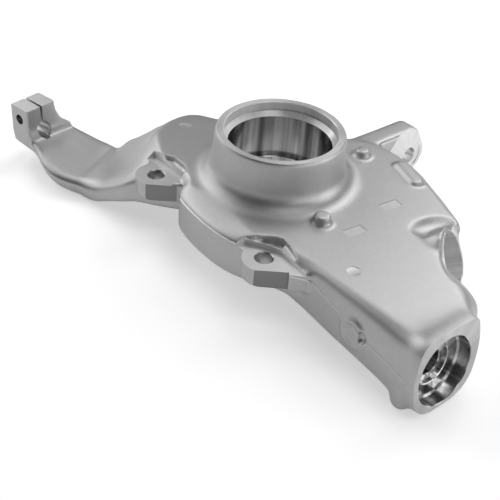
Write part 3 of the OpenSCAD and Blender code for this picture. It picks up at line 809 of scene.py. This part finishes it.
def spread(tree, value, low, high, start, stop):
    """Maps a value from start..stop to low..high."""
    inputs = {"Value": value, "From Min": start, "From Max": stop, "To Min": low, "To Max": high}
    return add_node(tree, "ShaderNodeMapRange", inputs).outputs["Result"]


def coloured(tree, shader, shade, colour, low, high):
    """Gives the shader a colour from low to high times itself as a shade goes from 0 to 1."""
    dark, light = ((*[min(1.0, c * tone) for c in colour], 1) for tone in (low, high))
    mix = add_node(tree, "ShaderNodeMix", {"Factor": shade, 6: dark, 7: light}, data_type="RGBA")
    tree.links.new(mix.outputs[2], shader.inputs["Base Color"])


def glossed(tree, shader, value, low, high):
    """Gives the shader a roughness from low to high with a noise."""
    tree.links.new(spread(tree, value, low, high, *NOISE_RANGE), shader.inputs["Roughness"])


def bumped(tree, shader, height, distance, strength):
    inputs = {"Height": height, "Strength": strength, "Distance": distance * MM}
    tree.links.new(add_node(tree, "ShaderNodeBump", inputs).outputs["Normal"], shader.inputs["Normal"])


def cast_finish(name, finish, tone):
    """As-cast, blasted aluminium: a fine grain, and soft blotches in tone and gloss."""
    tree, shader, place = metal(name)
    grain = noise(tree, place, 900, 3, 0.6)
    blotch = noise(tree, place, 190, 5, 0.75)
    shade = spread(tree, blotch, 0, 1, *NOISE_RANGE)
    coloured(tree, shader, shade, finish.cast_colour, 0.95 * tone, 1.05 * tone)
    glossed(tree, shader, blotch, finish.cast_roughness - 0.01, finish.cast_roughness + 0.015)
    bumped(tree, shader, grain, 0.12, 0.45)


def turned_finish(name, at, finish, roughness, step=1.5, tone=1.0, dark=0.25, metallic=1.0):
    """Turned aluminium: fine grooves round an axis, from noise that changes only with radius and height, and
    light and dark painted reflections in the base colour that change only with the way round it. The grooves
    spread reflections across their own way, which is the axis times the place. step is the grooves' width,
    and the painted reflections go from dark to 1 times the tone."""
    tree, shader, place = metal(name, metallic)
    origin, turn = tuple(at[0] * MM), at[1]
    local = {"Vector": place, "Location": origin, "Rotation": Matrix(turn.tolist()).to_euler()}
    mapping = add_node(tree, "ShaderNodeMapping", local, vector_type="TEXTURE")
    parts = add_node(tree, "ShaderNodeSeparateXYZ", {"Vector": mapping.outputs["Vector"]}).outputs
    flat = add_node(tree, "ShaderNodeCombineXYZ", {"X": parts["X"], "Y": parts["Y"]}).outputs["Vector"]
    radius = vector_node(tree, "LENGTH", flat)
    both = add_node(tree, "ShaderNodeCombineXYZ", {"X": radius, "Y": parts["Z"]}).outputs["Vector"]
    grooves = noise(tree, both, 1 / (step * MM), 2, 0.7)
    painted_reflections = noise(tree, vector_node(tree, "NORMALIZE", flat), 2.4, 3, 0.55)
    smear = noise(tree, place, 30, 3)
    outwards = vector_node(tree, "SUBTRACT", place, origin)
    along = vector_node(tree, "CROSS_PRODUCT", tuple(turn[:, 2]), outwards)
    tree.links.new(along, shader.inputs["Tangent"])
    shader.inputs["Anisotropic"].default_value = 0.75
    shader.inputs["Anisotropic Rotation"].default_value = 0.25
    # Painted reflections: the base colour turns light and dark with the way round the axis
    coloured(tree, shader, spread(tree, painted_reflections, 0, 1, 0.42, 0.6), finish.cut_colour, dark * tone, tone)
    glossed(tree, shader, smear, roughness - 0.04, roughness + 0.06)
    bumped(tree, shader, grooves, 0.02, 0.2)


def milled_finish(name, finish, roughness, way, step, tone=1.0, metallic=1.0):
    """Milled aluminium: fine parallel lines, a step wide, from noise that is stretched along one way."""
    tree, shader, place = metal(name, metallic)
    stretched = {"Vector": place, "Rotation": (0, 0, way), "Scale": (0.04, 1, 1)}
    mapping = add_node(tree, "ShaderNodeMapping", stretched)
    lines = noise(tree, mapping.outputs["Vector"], 1 / (step * MM), 3, 0.6)
    coloured(tree, shader, spread(tree, lines, 0, 1, *NOISE_RANGE), finish.cut_colour, 0.9 * tone, tone)
    glossed(tree, shader, lines, roughness - 0.05, roughness + 0.07)
    bumped(tree, shader, lines, 0.04, 0.35)


def mount_frame(name):
    at, axis = mount_place(name)
    return at, facing(axis)


def all_finishes():
    """The cast skin, its parting lines and sunk marks, and one finish for each kind of machined face."""
    finish = bpy.context.scene.knuckle_finish
    bright = finish.cut_roughness
    # Parting line bead: the cast skin painted 1.7 times lighter, a painted highlight
    # Sunk marks: the cast skin painted 1.12 times lighter, a painted highlight for their lit edges
    for name, tone in (("cast_skin", 1.0), ("cast_bead", 1.7), ("cast_mark", 1.12)):
        cast_finish(name, finish, tone)
    hub, end = upright(0, 0, 0), mount_frame("lower_ball_joint")
    side, lug = mount_frame("side_ball_joint"), mount_frame("tie_rod_hole")
    # dark is how deep each turned face's painted reflections go
    turned_finish("turned_hub", hub, finish, bright, tone=1.25, dark=0.22)
    turned_finish("turned_mouth", hub, finish, 0.3, tone=1.35, dark=0.85, metallic=0.25)
    turned_finish("turned_end", end, finish, bright, tone=1.3, dark=0.35)
    turned_finish("faced_end", end, finish, 0.4, tone=0.9, dark=0.85)
    turned_finish("turned_side", side, finish, 0.34, step=2.5, tone=1.3, dark=0.75, metallic=0.6)
    turned_finish("milled_lug", lug, finish, 0.3, tone=1.2, dark=0.9)
    turned_finish("faced_rim", hub, finish, 0.5, step=1.4, tone=0.95, dark=0.95, metallic=0.6)
    milled_finish("milled_face", finish, 0.34, math.radians(40), 0.5, tone=1.2, metallic=0.6)
    # Ears' side flats: milled metal painted to about a third of its tone, a painted shade
    milled_finish("milled_side", finish, 0.3, 0.0, 0.4, tone=0.32)
    milled_finish("drilled", finish, 0.3, 0.0, 0.5, tone=0.8)


# Sizes and colours that a user would change


class KnuckleForm(bpy.types.PropertyGroup):
    collar_wall: FloatProperty(
        name="Collar wall", description="Wall of the collar round the bearing",
        default=0.011, min=0.008, max=0.016, unit="LENGTH", subtype="DISTANCE")
    collar_fillet: FloatProperty(
        name="Collar fillet", description="Fillet at the collar's foot",
        default=0.016, min=0.006, max=0.022, unit="LENGTH", subtype="DISTANCE")
    grain: FloatProperty(
        name="Mesh grain", description="Size of the skin's mesh faces",
        default=0.0012, min=0.001, max=0.004, unit="LENGTH", subtype="DISTANCE")
    wide_fillet_passes: IntProperty(
        name="Wide fillets", description="How far the main forms are eased into each other",
        default=10, min=0, max=40)
    small_fillet_passes: IntProperty(
        name="Small fillets", description="How far the small forms are eased",
        default=4, min=0, max=20)


class KnuckleFinish(bpy.types.PropertyGroup):
    cast_colour: FloatVectorProperty(
        name="Cast colour", description="Tone of the cast skin",
        subtype="COLOR", default=(0.50, 0.50, 0.50), min=0, max=1)
    cut_colour: FloatVectorProperty(
        name="Cut colour", description="Tone of machined faces",
        subtype="COLOR", default=(0.70, 0.70, 0.70), min=0, max=1)
    cast_roughness: FloatProperty(
        name="Cast roughness", description="Gloss of the cast skin", default=0.48, min=0, max=1)
    cut_roughness: FloatProperty(
        name="Cut roughness", description="Gloss of the brightest turned faces", default=0.2, min=0, max=1)


class KnuckleStage(bpy.types.PropertyGroup):
    floor_colour: FloatVectorProperty(
        name="Floor", description="Tone of the floor", subtype="COLOR", default=(0.9, 0.9, 0.9), min=0, max=1)
    focal_length: FloatProperty(
        name="Focal length", description="Lens of the camera, in millimetres on a 36 mm frame",
        default=68.4, min=20, max=200, subtype="DISTANCE_CAMERA")
    floor_glow: FloatProperty(
        name="Floor glow", description="White that reflections see on the floor; the camera sees twice that",
        default=0.22, min=0, max=1)
    light: FloatProperty(
        name="Light", description="Share of the lamps' power", default=1.0, min=0, max=10)


# Operators


class KNUCKLE_OT_finishes(bpy.types.Operator):
    """Make the materials of the cast skin and of the machined faces"""

    bl_idname = "knuckle.finishes"
    bl_label = "Finishes"

    def execute(self, context):
        all_finishes()
        return {"FINISHED"}


class KNUCKLE_OT_casting(bpy.types.Operator):
    """Make the whole casting as it leaves the mould"""

    bl_idname = "knuckle.casting"
    bl_label = "Casting"

    def execute(self, context):
        skin = raw_casting()
        skin.data.materials.clear()
        skin.data.materials.append(bpy.data.materials["cast_skin"])
        thinned(skin, SKIN_FACES)
        machined(skin, sunk_marks())
        machined(skin, parting_seams(skin), "UNION")
        return {"FINISHED"}


class KNUCKLE_OT_machining(bpy.types.Operator):
    """Machine the bores, holes and faces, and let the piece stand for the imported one"""

    bl_idname = "knuckle.machining"
    bl_label = "Machining"

    def execute(self, context):
        skin = bpy.data.objects[PIECE]
        cutters = [*rim_cutters(), *hub_cutters(), *ear_cutters(), *clamp_cutters(), lug_cutter()]
        machined(skin, [*cutters, *end_cutters(), side_cutter()])
        skin.data.shade_smooth()
        skin.data.set_sharp_from_angle(angle=math.radians(SHARP_ANGLE))
        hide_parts("knuckle")
        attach(skin, "root")
        return {"FINISHED"}


# Softboxes: turn about +Z from +X, rise over the floor's level, and power in watts
SOFTBOXES = (
    ("high_right", 0, 65, 4.8), ("low_right", 0, 12, 4.0), ("low_back", 40, 12, 8.0), ("back", 100, 38, 8.4),
    ("top", 120, 65, 6.4), ("left", 180, 38, 7.4), ("low_left", 200, 12, 4.2), ("front_left", 220, 38, 3.4),
)
# How far away the softboxes are, their width and the point that they face, in metres
LAMP_WAY = 1.8
LAMP_SIZE = 0.95
LAMP_AIM = (0, 0, -0.05)
# Soft light's strength, the rise in which reflections lose the white backdrop, half the floor's width, the
# distances between which the floor turns white for the camera, and its glow there; lengths in metres
SOFT_WORLD = 0.02
BACKDROP_BAND = (0.02, 0.13)
FLOOR_HALF = 6.0
WHITE_FLOOR = (0.5, 2.0)
FAR_GLOW = 0.97


def softbox(name, turn, rise, power):
    """Square lamp that faces the object; turn and rise are in degrees, power in watts."""
    a, e = math.radians(turn), math.radians(rise)
    place = LAMP_WAY * np.array([math.cos(a) * math.cos(e), math.sin(a) * math.cos(e), math.sin(e)])
    lamp = bpy.data.lights.new(name, "AREA")
    lamp.shape, lamp.size, lamp.size_y, lamp.energy = "RECTANGLE", LAMP_SIZE, LAMP_SIZE, power
    made = added(name, lamp)
    made.location = place
    made.rotation_euler = (Vector(LAMP_AIM) - Vector(place)).to_track_quat("-Z", "Y").to_euler()


def seen(tree):
    """1 where the camera, a reflection or clear glass looks, and 0 for soft light."""
    path = add_node(tree, "ShaderNodeLightPath").outputs
    both = math_node(tree, "MAXIMUM", path["Is Camera Ray"], path["Is Glossy Ray"])
    return math_node(tree, "MAXIMUM", both, path["Is Transmission Ray"])


def studio_world():
    """Dim studio all round. The camera sees it white, and so do reflections and clear glass in the backdrop's
    band just over the floor."""
    world = bpy.data.worlds.new("studio")
    bpy.context.scene.world = world
    world.use_nodes = True
    tree = world.node_tree
    tree.nodes.clear()
    way = add_node(tree, "ShaderNodeTexCoord").outputs["Generated"]
    rise = add_node(tree, "ShaderNodeSeparateXYZ", {"Vector": way}).outputs["Z"]
    low = math_node(tree, "MULTIPLY", seen(tree), spread(tree, rise, 1, 0, *BACKDROP_BAND))
    camera_ray = add_node(tree, "ShaderNodeLightPath").outputs["Is Camera Ray"]
    white_share = math_node(tree, "MAXIMUM", low, camera_ray)
    soft, white = (
        add_node(tree, "ShaderNodeBackground", {"Color": (1, 1, 1, 1), "Strength": strength}).outputs[0]
        for strength in (SOFT_WORLD, 1.0)
    )
    mix = add_node(tree, "ShaderNodeMixShader", {0: white_share, 1: soft, 2: white})
    add_node(tree, "ShaderNodeOutputWorld", {"Surface": mix.outputs[0]})


def floor_finish(colour, glow):
    """Pale matt floor. Reflections and clear glass see it glow, and the camera sees more of it, which rises
    to the backdrop's white far from the object."""
    material = bpy.data.materials.new("floor")
    material.use_nodes = True
    tree = material.node_tree
    shader = tree.nodes["Principled BSDF"]
    shader.inputs["Base Color"].default_value = (*colour, 1)
    shader.inputs["Roughness"].default_value = 0.9
    place = add_node(tree, "ShaderNodeTexCoord").outputs["Object"]
    backdrop = spread(tree, vector_node(tree, "LENGTH", place), 2 * glow, FAR_GLOW, *WHITE_FLOOR)
    camera_ray = add_node(tree, "ShaderNodeLightPath").outputs["Is Camera Ray"]
    bright = math_node(tree, "MAXIMUM", math_node(tree, "MULTIPLY", camera_ray, backdrop), glow)
    light = add_node(tree, "ShaderNodeEmission", {"Strength": bright}).outputs[0]
    both = add_node(tree, "ShaderNodeAddShader", {0: shader.outputs[0], 1: light}).outputs[0]
    mix = add_node(tree, "ShaderNodeMixShader", {0: seen(tree), 1: shader.outputs[0], 2: both})
    tree.links.new(mix.outputs[0], tree.nodes["Material Output"].inputs["Surface"])
    return material


def studio_camera(lens):
    """Camera at the photograph's angle: columns of its frame are right, up and back."""
    data = bpy.data.cameras.new("camera")
    data.lens, data.sensor_width = lens, 36
    camera = added("camera", data)
    right = Vector((0.6425, 0.7635, 0.0668)).normalized()
    back = Vector((0.5822, -0.5429, 0.605)).normalized()
    up = back.cross(right)
    turn = Matrix((right, up, back)).transposed()
    camera.matrix_world = Matrix.Translation((0.51298, -0.50339, 0.41297)) @ turn.to_4x4()
    bpy.context.scene.camera = camera


class KNUCKLE_OT_stage(bpy.types.Operator):
    """Make the floor, the soft studio light and the camera"""

    bl_idname = "knuckle.stage"
    bl_label = "Studio"

    def execute(self, context):
        stage = context.scene.knuckle_stage
        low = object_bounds()[0].z
        mesh, h = bpy.data.meshes.new("floor"), FLOOR_HALF
        mesh.from_pydata([(-h, -h, low), (h, -h, low), (h, h, low), (-h, h, low)], [], [(0, 1, 2, 3)])
        mesh.materials.append(floor_finish(stage.floor_colour, stage.floor_glow))
        floor = added("floor", mesh)
        floor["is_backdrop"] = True
        studio_world()
        for name, turn, rise, power in SOFTBOXES:
            softbox(name, turn, rise, power * stage.light)
        studio_camera(stage.focal_length)
        context.scene.view_settings.view_transform = "Standard"
        return {"FINISHED"}


class KNUCKLE_PT_sidebar(bpy.types.Panel):
    """Sizes, colours and the steps that make the knuckle"""

    bl_label = "Steering knuckle"
    bl_idname = "KNUCKLE_PT_sidebar"
    bl_space_type = "VIEW_3D"
    bl_region_type = "UI"
    bl_category = "Knuckle"

    def draw(self, context):
        for group in (context.scene.knuckle_form, context.scene.knuckle_finish, context.scene.knuckle_stage):
            box = self.layout.box()
            for name in group.__annotations__:
                box.prop(group, name)
        for step in STEPS:
            self.layout.operator(step.bl_idname)


STEPS = (KNUCKLE_OT_finishes, KNUCKLE_OT_casting, KNUCKLE_OT_machining, KNUCKLE_OT_stage)
GROUPS = {"knuckle_form": KnuckleForm, "knuckle_finish": KnuckleFinish, "knuckle_stage": KnuckleStage}


def register():
    for cls in (*GROUPS.values(), *STEPS, KNUCKLE_PT_sidebar):
        bpy.utils.register_class(cls)
    for name, group in GROUPS.items():
        setattr(bpy.types.Scene, name, PointerProperty(type=group))


def unregister():
    for name in GROUPS:
        delattr(bpy.types.Scene, name)
    for cls in reversed((*GROUPS.values(), *STEPS, KNUCKLE_PT_sidebar)):
        bpy.utils.unregister_class(cls)


def main():
    register()
    bpy.ops.knuckle.finishes()
    bpy.ops.knuckle.casting()
    bpy.ops.knuckle.machining()
    bpy.ops.knuckle.stage()


if __name__ == "__main__":
    main()
